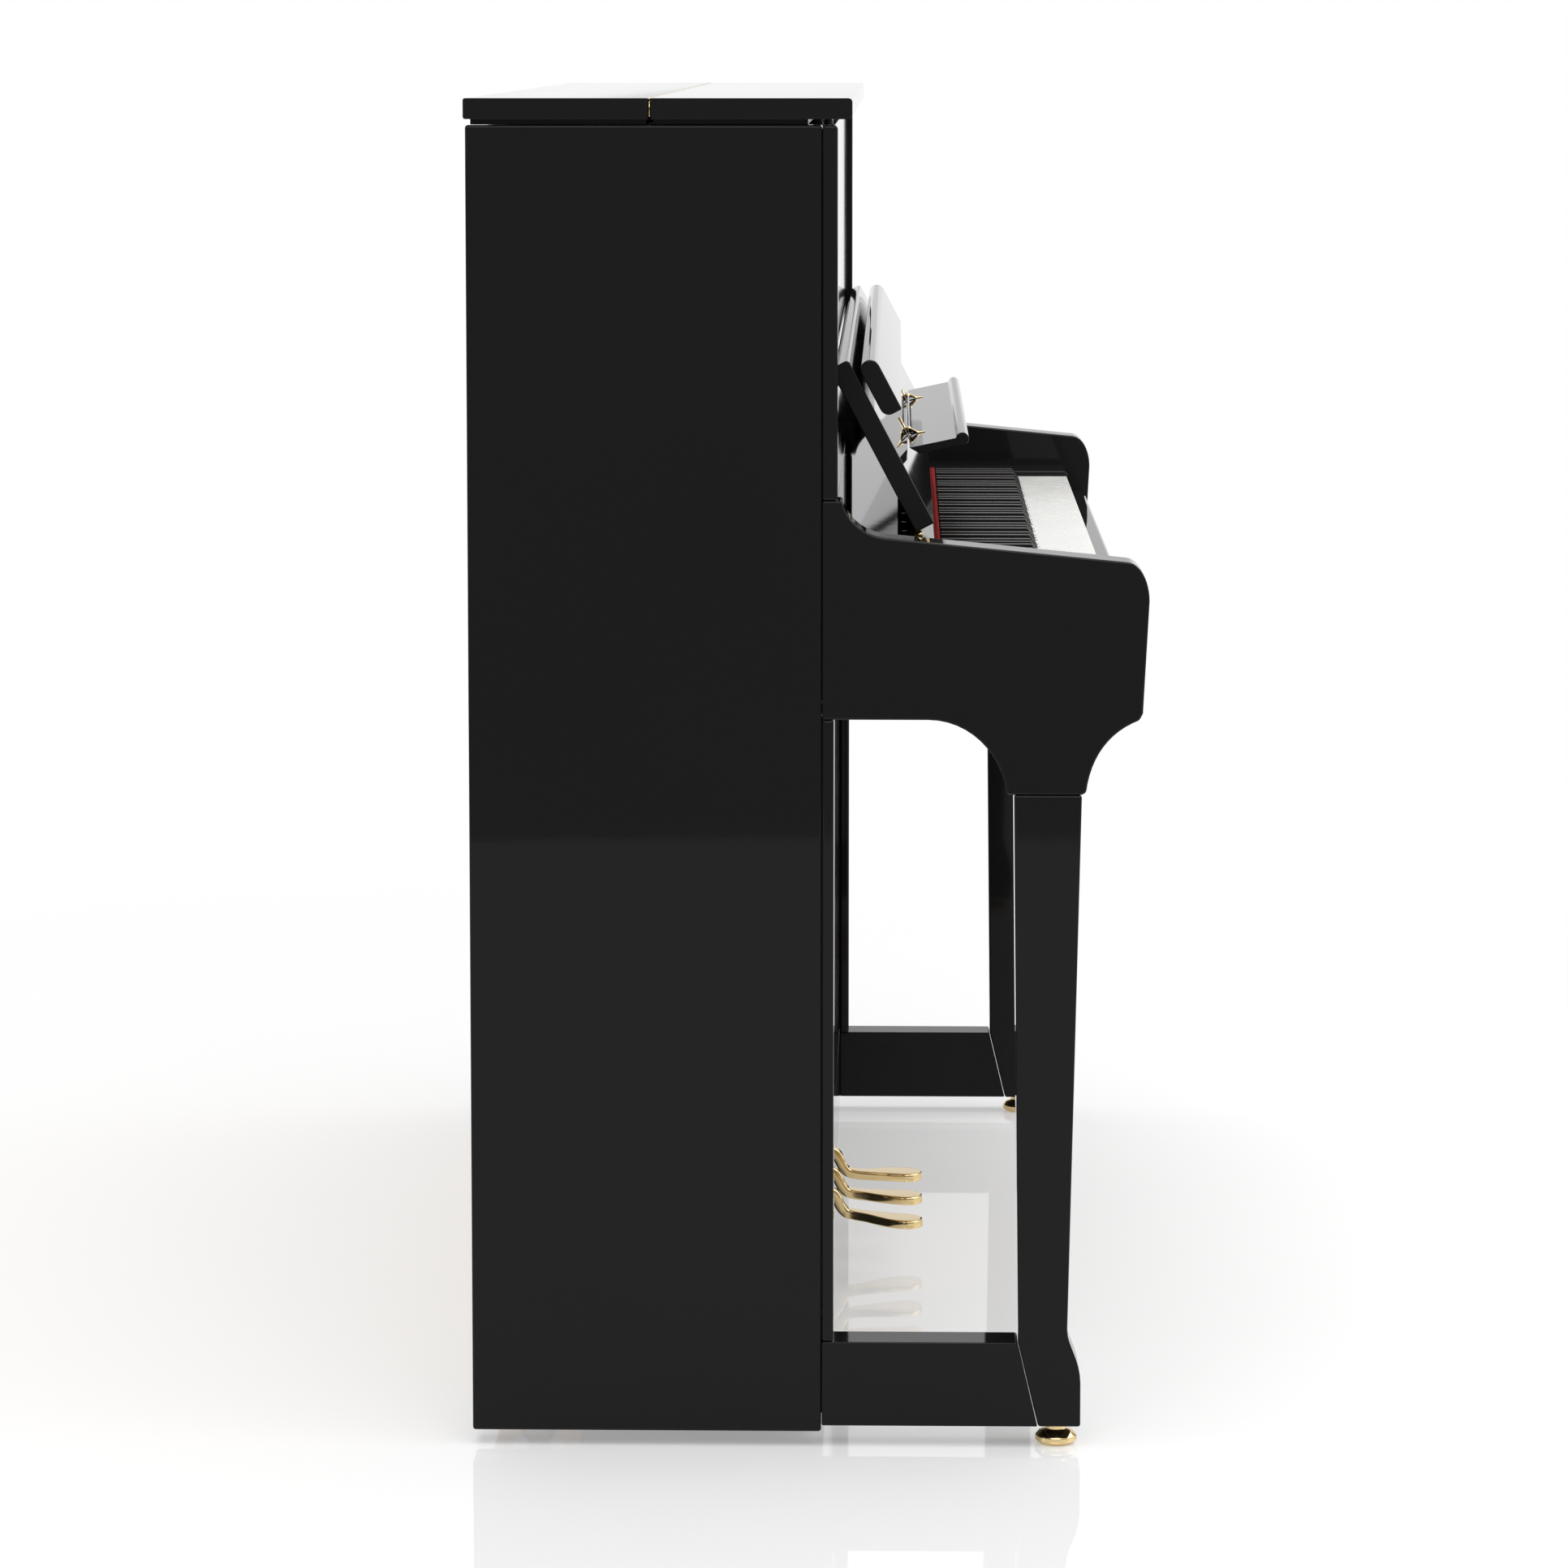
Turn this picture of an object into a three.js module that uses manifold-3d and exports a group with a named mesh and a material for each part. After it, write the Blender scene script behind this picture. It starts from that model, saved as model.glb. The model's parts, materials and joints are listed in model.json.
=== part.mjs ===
// Upright piano: case, keyboard, folding fallboard, pedals, strings and action.
// Millimetres. +Z is up, the player sits on the -Y side, and +X is the treble end.
// The origin is on the floor, in the middle of the footprint.
import * as THREE from 'three';
import { mergeVertices } from 'three/addons/utils/BufferGeometryUtils.js';
import Module from 'manifold-3d';

const wasm = await Module();
wasm.setup();

// ---- Driving dimensions ----
const WIDTH = 1500;           // across the lid
const DEPTH = 591;            // back of the lid to the front of the arms
const HEIGHT = 1180;          // floor to the top of the lid
const GAP = 0.3;              // clearance kept where two pieces touch

// Across the piano, as distances from the middle plane
const CASE_OUT = WIDTH / 2 - 2;       // outer face of the side panels, arms and legs
const PANEL_IN = CASE_OUT - 40;       // inner face of a side panel
const ARM_IN = CASE_OUT - 45;         // inner face of an arm and of a stile
const BETWEEN = ARM_IN - GAP;         // half the length of what spans between the arms
const INSIDE = PANEL_IN - GAP;        // half the length of what spans between the side panels

// Heights
const LID_T = 18;
const CASE_TOP = 1157;                // top of the side panels
const CASE_BOTTOM = 13.5;
const ARM_LEDGE = 834;                // where the arm meets the upper stile
const ARM_BOTTOM = 643.8;
const SHOULDER = 578.7;               // underside of the arm, where the leg stands
const TOE_TOP = 94;
const LEG_BOTTOM = 19;

// Distances from the back of the lid
const SIDE_FRONT = 308;               // front edge of a side panel
const STILE_FRONT = 321.6;            // front face of an upper stile
const PANEL_FACE = 316.8;             // front face of the upper panel, just behind the open board
const LID_SEAM = 160;                 // hinge line of the lid
const LID_FRONT = 334;

// Keyboard
const WHITE_COUNT = 52;
const WHITE_PITCH = 23.5;
const WHITE_W = 22.5;
const BLACK_W = 10.5;
const KEY_SIDE_GAP = 1;               // between a sharp and the naturals beside it
const KEY_TOP = 743.5;
const KEY_BOTTOM = 718;
const SHARP_TOP = 755.5;
const KEY_TAIL = 190;
const KEY_FRONT = 562;
const SHARP_BACK = 417;
const SHARP_FRONT = 508;
const HEAD_BACK = 510;
const BALANCE = 342;                  // balance rail, where the keys rock
const KEYBED_TOP = 697;
const KEYBED_BOTTOM = 655;

// Fallboard, drawn standing open: U runs up along the board, N out of its front face
const LEAN = THREE.MathUtils.degToRad(62.1);
const BOARD_FOOT = [405.3, 811];      // lower front corner of the board
const BOARD_T = 18;
const BOARD_L = 161;
const HINGE_LINE = [393.3, 800];      // fallboard hinge pin
const FLAP_T = 17;
const FLAP_L = 52;
const SHELF_PIN = [52, 3.3];          // shelf hinge, as U and N
const SHELF_TILT = THREE.MathUtils.degToRad(12);
const SHELF_HALF = 400;
const BRACKET_X = 236;

// Pedals
const PEDAL_PITCH = 95;
const PEDAL_PIN = [200, 84.5];
const PEDAL_NECK = 8;                 // half width of the lever
const PEDAL_SPOON = 18.5;             // half width of the foot plate
const PEDAL_FAN = 14;                 // how far the outer foot plates lie outside their levers

// Strung back: planes as distances from the back
const FRAME_FRONT = 86;
const BOARD_BACK = 86.3;              // soundboard
const BOARD_FACE = 94.3;
const PLATE_BACK = 95.3;
const PLATE_FACE = 112;
const TREBLE_PLANE = 119.5;
const BASS_PLANE = 128;
const BEARING_Z = 1039;               // pressure bars
const NOTE_COUNT = 88;
const BASS_NOTES = 26;
const NOTE_PITCH = 14.1;

// ---- Materials ----
const finish = (color, roughness, metalness) =>
  new THREE.MeshStandardMaterial({ color, roughness, metalness });
const BLACK = finish(0x0c0c0d, 0.06, 0);
const IVORY = finish(0xf3f1ea, 0.2, 0);
const EBONY = finish(0x17120f, 0.35, 0);
const BRASS = finish(0xc9a45a, 0.18, 1);
const STEEL = finish(0xa8a9ab, 0.35, 1);
const IRON = finish(0xb08d4a, 0.45, 0.4);
const SPRUCE = finish(0xd8b27c, 0.6, 0);
const MAPLE = finish(0xc79a63, 0.55, 0);
const FELT = finish(0xe6e0d2, 0.95, 0);
const RUBBER = finish(0x222222, 0.8, 0);

// ---- Solids ----
const BACK_Y = DEPTH / 2;

// The three drawing planes. Side: (distance from back, height), drawn out along X.
const SIDE_VIEW = new THREE.Matrix4().set(0, 0, -1, 0, -1, 0, 0, BACK_Y, 0, 1, 0, 0, 0, 0, 0, 1);
// Plan: (x, distance from back), drawn out along Z. Front: (x, height), drawn out along Y.
const PLAN_VIEW = new THREE.Matrix4().set(1, 0, 0, 0, 0, -1, 0, BACK_Y, 0, 0, -1, 0, 0, 0, 0, 1);
const FRONT_VIEW = new THREE.Matrix4().set(1, 0, 0, 0, 0, 0, -1, BACK_Y, 0, 1, 0, 0, 0, 0, 0, 1);

function drawnOut(shape, depth, view, segments) {
  const geometry = new THREE.ExtrudeGeometry(shape, { depth, bevelEnabled: false, curveSegments: segments });
  return geometry.applyMatrix4(view);
}

// A side-view outline between x0 and x1
const slab = (shape, x0, x1, segments = 6) =>
  drawnOut(shape, x1 - x0, SIDE_VIEW, segments).translate(x1, 0, 0);

// A plan outline between heights z0 and z1
const sheet = (shape, z0, z1, segments = 6) =>
  drawnOut(shape, z1 - z0, PLAN_VIEW, segments).translate(0, 0, z1);

// A front-view outline between distances b0 and b1 from the back
const panel = (shape, b0, b1, segments = 6) =>
  drawnOut(shape, b1 - b0, FRONT_VIEW, segments).translate(0, -b0, 0);

const polygon = (points) => new THREE.Shape(points.map(([u, v]) => new THREE.Vector2(u, v)));

const box = (x0, x1, b0, b1, z0, z1) =>
  new THREE.BoxGeometry(x1 - x0, b1 - b0, z1 - z0)
    .translate((x0 + x1) / 2, BACK_Y - (b0 + b1) / 2, (z0 + z1) / 2);

// A bar along X with a round section, centred on (b, z)
const rod = (x0, x1, b, z, radius, sides = 8) =>
  new THREE.CylinderGeometry(radius, radius, x1 - x0, sides)
    .rotateZ(Math.PI / 2).translate((x0 + x1) / 2, BACK_Y - b, z);

// A tuning pin along Y, four-sided as its head is
const tuningPin = (x, z, b0, b1, radius) =>
  new THREE.CylinderGeometry(radius, radius, b1 - b0, 4)
    .translate(x, BACK_Y - (b0 + b1) / 2, z);

function toSolid(geometry) {
  const bare = geometry.clone();
  bare.deleteAttribute('normal');
  bare.deleteAttribute('uv');
  const merged = mergeVertices(bare, 1e-4);
  return new wasm.Manifold(new wasm.Mesh({
    numProp: 3,
    vertProperties: new Float32Array(merged.attributes.position.array),
    triVerts: new Uint32Array(merged.index.array),
  }));
}

function toGeometry(solid) {
  const mesh = solid.getMesh();
  const geometry = new THREE.BufferGeometry();
  geometry.setAttribute('position', new THREE.BufferAttribute(new Float32Array(mesh.vertProperties), 3));
  geometry.setIndex(new THREE.BufferAttribute(new Uint32Array(mesh.triVerts), 1));
  return geometry;
}

const joined = (...parts) =>
  toGeometry(parts.map(toSolid).reduce((whole, part) => whole.add(part)));
const cut = (body, ...tools) =>
  toGeometry(tools.map(toSolid).reduce((whole, tool) => whole.subtract(tool), toSolid(body)));
const common = (a, b) => toGeometry(toSolid(a).intersect(toSolid(b)));

const group = new THREE.Group();

function add(name, geometry, material) {
  const mesh = new THREE.Mesh(geometry, material);
  mesh.name = name;
  group.add(mesh);
}

// Makes the left and right copies of a piece from make(x0, x1), given its inner and outer planes
function addPair(name, inner, outer, make, material) {
  add(`${name}_left`, make(-outer, -inner), material);
  add(`${name}_right`, make(inner, outer), material);
}

// ---- Case ----
function lidOutline(back, front, backRadius, frontRadius) {
  const bottom = HEIGHT - LID_T;
  const outline = new THREE.Shape();
  outline.moveTo(back, bottom + backRadius);
  outline.lineTo(back, HEIGHT - backRadius);
  outline.absarc(back + backRadius, HEIGHT - backRadius, backRadius, Math.PI, Math.PI / 2, true);
  outline.absarc(front - frontRadius, HEIGHT - frontRadius, frontRadius, Math.PI / 2, 0, true);
  outline.absarc(front - frontRadius, bottom + frontRadius, frontRadius, 0, -Math.PI / 2, true);
  outline.absarc(back + backRadius, bottom + backRadius, backRadius, -Math.PI / 2, -Math.PI, true);
  return outline;
}

function addLid() {
  const half = WIDTH / 2;
  const seam = 1.2;
  const batten = (b0, b1) => box(-half + 6, half - 6, b0, b1, CASE_TOP + GAP, HEIGHT - LID_T + 1);
  const rear = slab(lidOutline(0, LID_SEAM - seam, 2, 0.5), -half, half, 2);
  const front = slab(lidOutline(LID_SEAM + seam, LID_FRONT, 0.5, 3.5), -half, half, 3);
  add('lid_rear', joined(rear, batten(6, LID_SEAM - 3)), BLACK);
  add('lid_front', joined(front, batten(LID_SEAM + 3, SIDE_FRONT - 12)), BLACK);
  const leaf = box(-half + 30, half - 30, LID_SEAM - 0.5, LID_SEAM + 0.5, HEIGHT - LID_T + 2, HEIGHT);
  add('lid_hinge', joined(rod(-half + 30, half - 30, LID_SEAM, HEIGHT + 0.2, 1), leaf), BRASS);
}

function upperStileOutline() {
  const radius = 4;
  const outline = new THREE.Shape();
  outline.moveTo(SIDE_FRONT + GAP, ARM_LEDGE + GAP);
  outline.lineTo(SIDE_FRONT + GAP, CASE_TOP);
  outline.absarc(STILE_FRONT - radius, CASE_TOP - radius, radius, Math.PI / 2, 0, true);
  outline.lineTo(STILE_FRONT, ARM_LEDGE + GAP);
  return outline;
}

// Scrolled top, rounded nose and the two under-curves that meet over the leg
function armOutline() {
  const outline = new THREE.Shape();
  outline.moveTo(SIDE_FRONT + GAP, ARM_BOTTOM);
  outline.lineTo(SIDE_FRONT + GAP, ARM_LEDGE);
  outline.lineTo(325.5, ARM_LEDGE);
  outline.bezierCurveTo(328, 818, 343, 804, 364, 802);
  outline.lineTo(572, 781.6);
  outline.bezierCurveTo(583, 780.5, 591, 765, DEPTH, 747.5);
  outline.lineTo(586, 650);
  outline.lineTo(583, 644);
  outline.bezierCurveTo(557, 634, 541, 612, 537.3, 581);
  outline.lineTo(534, SHOULDER);
  outline.lineTo(470, SHOULDER);
  outline.lineTo(467.5, 583);
  outline.bezierCurveTo(463, 615, 436, ARM_BOTTOM, 400, ARM_BOTTOM);
  return outline;
}

// Slim tapered leg that kicks forward into its foot
function legOutline() {
  const outline = new THREE.Shape();
  outline.moveTo(474.8, SHOULDER - GAP);
  outline.lineTo(533.7, SHOULDER - GAP);
  outline.lineTo(523.6, 105.7);
  outline.bezierCurveTo(524, 90, 535, 80, 535.4, 58);
  outline.lineTo(535.4, LEG_BOTTOM);
  outline.lineTo(498.4, LEG_BOTTOM);
  outline.lineTo(480.4, TOE_TOP);
  return outline;
}

const toeBlockOutline = () => polygon([
  [SIDE_FRONT + GAP, LEG_BOTTOM], [SIDE_FRONT + GAP, TOE_TOP],
  [480.4 - 2 * GAP, TOE_TOP], [498.4 - 2 * GAP, LEG_BOTTOM],
]);

// Turned glide: a flat disc with a rolled edge under a short stem
function footGeometry(x) {
  const stemTop = LEG_BOTTOM - GAP;
  const profile = [
    [0, 0], [15, 0], [18.6, 3.5], [18.6, 7], [15, 11], [10.5, 12.5], [9, 13], [9, stemTop], [0, stemTop],
  ].map(([r, z]) => new THREE.Vector2(r, z));
  return new THREE.LatheGeometry(profile, 24).rotateX(Math.PI / 2).translate(x, BACK_Y - 514.6, 0);
}

function addCase() {
  const sidePanel = polygon([
    [1.5, CASE_BOTTOM], [1.5, CASE_TOP], [SIDE_FRONT, CASE_TOP], [SIDE_FRONT, CASE_BOTTOM],
  ]);
  const lowerStile = polygon([
    [SIDE_FRONT + GAP, TOE_TOP + GAP], [SIDE_FRONT + GAP, ARM_BOTTOM - GAP],
    [318.6, ARM_BOTTOM - GAP], [318.6, TOE_TOP + GAP],
  ]);
  addPair('side_panel', PANEL_IN, CASE_OUT, (x0, x1) => slab(sidePanel, x0, x1), BLACK);
  addPair('upper_stile', ARM_IN, CASE_OUT, (x0, x1) => slab(upperStileOutline(), x0, x1, 4), BLACK);
  addPair('lower_stile', ARM_IN, CASE_OUT, (x0, x1) => slab(lowerStile, x0, x1), BLACK);
  addPair('arm', ARM_IN, CASE_OUT, (x0, x1) => slab(armOutline(), x0, x1, 12), BLACK);
  addPair('leg', CASE_OUT - 43, CASE_OUT, (x0, x1) => slab(legOutline(), x0, x1, 8), BLACK);
  addPair('toe_block', CASE_OUT - 41, CASE_OUT, (x0, x1) => slab(toeBlockOutline(), x0, x1), BLACK);
  const footX = CASE_OUT - 21.5;
  add('front_foot_left', footGeometry(-footX), BRASS);
  add('front_foot_right', footGeometry(footX), BRASS);
}

// Panels between the sides, and the bottom board with the rail that the pedals come through
function addPanels() {
  const railTop = 108;
  const frontFace = SIDE_FRONT + 0.6;
  add('upper_panel', box(-BETWEEN, BETWEEN, 296, PANEL_FACE, 797.5, CASE_TOP - 4), BLACK);
  add('lower_panel', box(-BETWEEN, BETWEEN, 291, frontFace, railTop + GAP, KEYBED_BOTTOM - 2), BLACK);
  const rail = box(-BETWEEN, BETWEEN, 289, frontFace, LEG_BOTTOM, railTop);
  const board = box(-BETWEEN, BETWEEN, FRAME_FRONT + 2, 290, 44, 64);
  const slots = [-1, 0, 1].map((i) => box(i * PEDAL_PITCH - 12, i * PEDAL_PITCH + 12, 280, 320, 65, 96));
  const bearings = [-1, 0, 1].map((i) => {
    const x = i * PEDAL_PITCH;
    const block = box(x - 15, x + 15, PEDAL_PIN[0] - 9, PEDAL_PIN[0] + 9, 63, 93);
    const slot = box(x - PEDAL_NECK - 1, x + PEDAL_NECK + 1, 180, 220, 64, 120);
    return joined(cut(block, slot), rod(x - 14, x + 14, PEDAL_PIN[0], PEDAL_PIN[1], 3, 12));
  });
  add('bottom_board', joined(board, cut(rail, ...slots), ...bearings), BLACK);
}

// ---- Keyboard ----
const PATTERN = ['A', 'As', 'B', 'C', 'Cs', 'D', 'Ds', 'E', 'F', 'Fs', 'G', 'Gs'];
const SHARP_SHIFT = { As: 3.2, Cs: -2.4, Ds: 2.4, Fs: -3.2, Gs: 0 };

// Every note from the lowest A up: its name, whether it is a sharp, and where it lies across
function layOutKeys() {
  const keys = [];
  let whites = 0;
  for (let note = 0; note < NOTE_COUNT; note++) {
    const letter = PATTERN[note % 12];
    const sharp = letter.endsWith('s');
    const octave = Math.floor((note + 9) / 12);
    const boundary = (whites - WHITE_COUNT / 2) * WHITE_PITCH;
    const x = sharp ? boundary + SHARP_SHIFT[letter] : boundary + WHITE_PITCH / 2;
    keys.push({ name: `key_${letter}${octave}`, sharp, x });
    if (!sharp) whites += 1;
  }
  return keys;
}

function sharpGeometry(key) {
  const outline = polygon([
    [KEY_TAIL, KEY_BOTTOM], [KEY_TAIL, KEY_TOP], [SHARP_BACK, KEY_TOP], [SHARP_BACK, SHARP_TOP],
    [SHARP_FRONT - 7, SHARP_TOP], [SHARP_FRONT, KEY_TOP - 3], [SHARP_FRONT, KEY_BOTTOM],
  ]);
  return slab(outline, key.x - BLACK_W / 2, key.x + BLACK_W / 2);
}

// A natural is full width at its head, and its tail is cut back beside each sharp
function naturalGeometry(keys, index) {
  const { x } = keys[index];
  const clear = BLACK_W / 2 + KEY_SIDE_GAP;
  const left = keys[index - 1]?.sharp ? keys[index - 1].x + clear : x - WHITE_W / 2;
  const right = keys[index + 1]?.sharp ? keys[index + 1].x - clear : x + WHITE_W / 2;
  const outline = polygon([
    [left, KEY_TAIL], [right, KEY_TAIL], [right, HEAD_BACK], [x + WHITE_W / 2, HEAD_BACK],
    [x + WHITE_W / 2, KEY_FRONT], [x - WHITE_W / 2, KEY_FRONT], [x - WHITE_W / 2, HEAD_BACK],
    [left, HEAD_BACK],
  ]);
  return sheet(outline, KEY_BOTTOM, KEY_TOP);
}

// The middle octave is twelve keys of their own. The rest are two sections, each tied by a batten.
function addKeys() {
  const keys = layOutKeys();
  const shape = (index) => (keys[index].sharp ? sharpGeometry(keys[index]) : naturalGeometry(keys, index));
  const first = keys.findIndex((key) => key.name === 'key_C4');
  const last = first + 11;
  for (let index = first; index <= last; index++) {
    add(keys[index].name, shape(index), keys[index].sharp ? EBONY : IVORY);
  }
  const section = (from, to) => {
    const [left, right] = [keys[from].x - 8, keys[to].x + 8];
    const tie = box(left, right, BALANCE + 10, BALANCE + 20, KEY_BOTTOM - 6, KEY_BOTTOM + 1);
    const solids = [];
    for (let index = from; index <= to; index++) solids.push(shape(index));
    return joined(tie, ...solids);
  };
  add('keys_bass', section(0, first - 1), IVORY);
  add('keys_treble', section(last + 1, NOTE_COUNT - 1), IVORY);
}

function addKeyboardCase() {
  const bed = box(-BETWEEN, BETWEEN, 165, 563, KEYBED_BOTTOM, KEYBED_TOP);
  const keysHalf = (WHITE_COUNT / 2) * WHITE_PITCH;
  const rails = [
    box(-keysHalf, keysHalf, BALANCE - 5, BALANCE + 5, KEYBED_TOP - 1, KEY_BOTTOM - 1),
    box(-keysHalf, keysHalf, KEY_TAIL + 5, KEY_TAIL + 35, KEYBED_TOP - 1, KEY_BOTTOM - 2.5),
    box(-keysHalf, keysHalf, 530, 556, KEYBED_TOP - 1, KEYBED_TOP + 8),
  ];
  add('keybed', joined(bed, ...rails), MAPLE);
  const slip = new THREE.Shape();
  slip.moveTo(566, KEYBED_BOTTOM);
  slip.lineTo(566, 720);
  slip.absarc(585 - 4, 720 - 4, 4, Math.PI / 2, 0, true);
  slip.lineTo(583, KEYBED_BOTTOM);
  add('key_slip', slab(slip, -BETWEEN, BETWEEN, 4), BLACK);
  const block = new THREE.Shape();
  const blockTop = 749;
  block.moveTo(330, KEYBED_TOP + GAP);
  block.lineTo(330, blockTop);
  block.absarc(563 - 5, blockTop - 5, 5, Math.PI / 2, 0, true);
  block.lineTo(563, KEYBED_TOP + GAP);
  addPair('key_block', keysHalf + 1.5, BETWEEN, (x0, x1) => slab(block, x0, x1, 4), BLACK);
}

// ---- Fallboard ----
// (U, N) on the standing board to (distance from back, height)
function onBoard(u, n) {
  const [b, z] = BOARD_FOOT;
  return [b - u * Math.cos(LEAN) + n * Math.sin(LEAN), z + u * Math.sin(LEAN) + n * Math.cos(LEAN)];
}

// An outline drawn in U and N, with round stretches given as [u, n, radius, from, to] in degrees
function boardOutline(points) {
  const path = [];
  for (const [u, n, radius, from, to] of points) {
    if (radius === undefined) {
      path.push(onBoard(u, n));
      continue;
    }
    const steps = 6;
    for (let i = 0; i <= steps; i++) {
      const angle = THREE.MathUtils.degToRad(from + ((to - from) * i) / steps);
      path.push(onBoard(u + radius * Math.cos(angle), n + radius * Math.sin(angle)));
    }
  }
  return polygon(path);
}

function addFallboard() {
  const heelRound = 10;
  const noseRound = 3.5;
  const board = boardOutline([
    [0, 0], [0, -BOARD_T],
    [BOARD_L - heelRound, heelRound - BOARD_T, heelRound, -90, 0],
    [BOARD_L - noseRound, -noseRound, noseRound, 0, 90],
  ]);
  add('fallboard', slab(board, -BETWEEN + 1.5, BETWEEN - 1.5), BLACK);

  // The flap hangs folded in front of the board, its hinge at the top
  const flapBack = 4.5;
  const flapTop = 153;
  const nose = FLAP_T / 2;
  const heel = 8;
  const flap = boardOutline([
    [flapTop - nose, flapBack + nose, nose, 90, -90],
    [flapTop - FLAP_L + heel, flapBack + heel, heel, -90, -180],
    [flapTop - FLAP_L, flapBack + FLAP_T],
  ]);
  add('fallboard_flap', slab(flap, -BETWEEN + 1.5, BETWEEN - 1.5), BLACK);

  // Long hinge of the fallboard: a leaf on the rail and the barrel
  const [pinB, pinZ] = HINGE_LINE;
  const leaf = box(-BETWEEN + 20, BETWEEN - 20, pinB - 20, pinB, pinZ - 2.7, pinZ - 1.2);
  add('fallboard_hinge', joined(leaf, rod(-BETWEEN + 6, BETWEEN - 6, pinB, pinZ, 2.4)), BRASS);

  // Deep rail under the hinge, with a lip down to the keys that clears the turning board
  const rail = polygon([
    [296, 780], [296, 797], [388, 797], [391, 781], [407, 778], [410, 757], [400, 757], [396, 768],
    [386, 780],
  ]);
  add('fallboard_rail', slab(rail, -BETWEEN, BETWEEN), BLACK);
}

// A point at (along, above) from the shelf hinge, with the shelf let down
function onShelf(along, above) {
  const [b, z] = onBoard(...SHELF_PIN);
  const c = Math.cos(SHELF_TILT);
  const s = Math.sin(SHELF_TILT);
  return [b + along * c - above * s, z + along * s + above * c];
}

function addMusicShelf() {
  const bead = { along: 49, above: -7, radius: 6 };
  const outline = [onShelf(46, -5), onShelf(-1, -5), onShelf(7, -12), onShelf(46, -12)];
  const plate = slab(polygon(outline), -SHELF_HALF, SHELF_HALF);
  const [beadB, beadZ] = onShelf(bead.along, bead.above);
  const edge = rod(-SHELF_HALF, SHELF_HALF, beadB, beadZ, bead.radius, 16);
  const [pinB, pinZ] = onBoard(...SHELF_PIN);
  const notch = (x) => rod(x - 12, x + 12, pinB, pinZ, 9, 12);
  add('music_shelf', cut(joined(plate, edge), notch(-BRACKET_X), notch(BRACKET_X)), BLACK);

  // Hinge rod with a foot plate and a knuckle at each end, screwed to the board's face
  const bracket = (x) => {
    const [u] = SHELF_PIN;
    const foot = boardOutline([[u - 17, 0.4], [u + 17, 0.4], [u + 4, 3], [u - 4, 3]]);
    return joined(slab(foot, x - 5, x + 5), rod(x - 7, x + 7, pinB, pinZ, 2.8));
  };
  const shaft = rod(-BRACKET_X, BRACKET_X, pinB, pinZ, 1.5);
  add('shelf_hinge', joined(shaft, bracket(-BRACKET_X), bracket(BRACKET_X)), BRASS);
}

// ---- Pedals ----
// Side outline: straight lever inside, swan neck down through the rail, thin foot plate
function pedalSide() {
  const outline = new THREE.Shape();
  outline.moveTo(191, 78);
  outline.lineTo(309, 78);
  outline.bezierCurveTo(314, 74, 314, 60, 322, 57);
  outline.lineTo(385, 52);
  outline.bezierCurveTo(394, 51.5, 400, 54, 400, 57);
  outline.bezierCurveTo(400, 60, 392, 61.5, 385, 61.5);
  outline.lineTo(330, 65.5);
  outline.bezierCurveTo(321, 67, 317, 82, 311, 91);
  outline.lineTo(191, 91);
  outline.holes.push(new THREE.Path().absarc(PEDAL_PIN[0], PEDAL_PIN[1], 3.5, 0, 2 * Math.PI, true));
  return outline;
}

// Plan of a pedal whose foot plate lies to one side of its lever by fan
function pedalPlan(fan) {
  const left = fan - PEDAL_SPOON;
  const right = fan + PEDAL_SPOON;
  const outline = new THREE.Shape();
  outline.moveTo(-PEDAL_NECK, 185);
  outline.lineTo(-PEDAL_NECK, 325);
  outline.bezierCurveTo(-PEDAL_NECK, 350, left, 355, left, 382);
  outline.bezierCurveTo(left, 392, fan - 9, 400, fan, 400);
  outline.bezierCurveTo(fan + 9, 400, right, 392, right, 382);
  outline.bezierCurveTo(right, 355, PEDAL_NECK, 350, PEDAL_NECK, 325);
  outline.lineTo(PEDAL_NECK, 185);
  return outline;
}

function addPedals() {
  const reach = PEDAL_SPOON + PEDAL_FAN + 1;
  ['left', 'middle', 'right'].forEach((side, index) => {
    const place = index - 1;
    const pedal = common(slab(pedalSide(), -reach, reach), sheet(pedalPlan(place * PEDAL_FAN), 40, 100));
    add(`pedal_${side}`, pedal.translate(place * PEDAL_PITCH, 0, 0), BRASS);
  });
}

// ---- Rear casters ----
function addCasters() {
  const wheelRadius = 18;
  const casterB = 50;
  const plateTop = 43.5;
  const rim = wheelRadius - 2;
  const ring = [[3.4, -9], [rim, -9], [wheelRadius, -7], [wheelRadius, 7], [rim, 9], [3.4, 9], [3.4, -9]]
    .map(([r, x]) => new THREE.Vector2(r, x));
  for (const [side, x] of [['left', -600], ['right', 600]]) {
    const wheel = new THREE.LatheGeometry(ring, 24).rotateZ(-Math.PI / 2);
    add(`rear_wheel_${side}`, wheel.translate(x, BACK_Y - casterB, wheelRadius), RUBBER);
    const cheek = (dx) => box(x + dx - 1.5, x + dx + 1.5, casterB - 9, casterB + 9, 10, plateTop - 3);
    const plate = box(x - 26, x + 26, casterB - 24, casterB + 24, plateTop - 4, plateTop);
    const axle = rod(x - 13, x + 13, casterB, wheelRadius, 3, 12);
    add(`caster_fork_${side}`, joined(plate, cheek(-11.5), cheek(11.5), axle), STEEL);
  }
}

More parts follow.
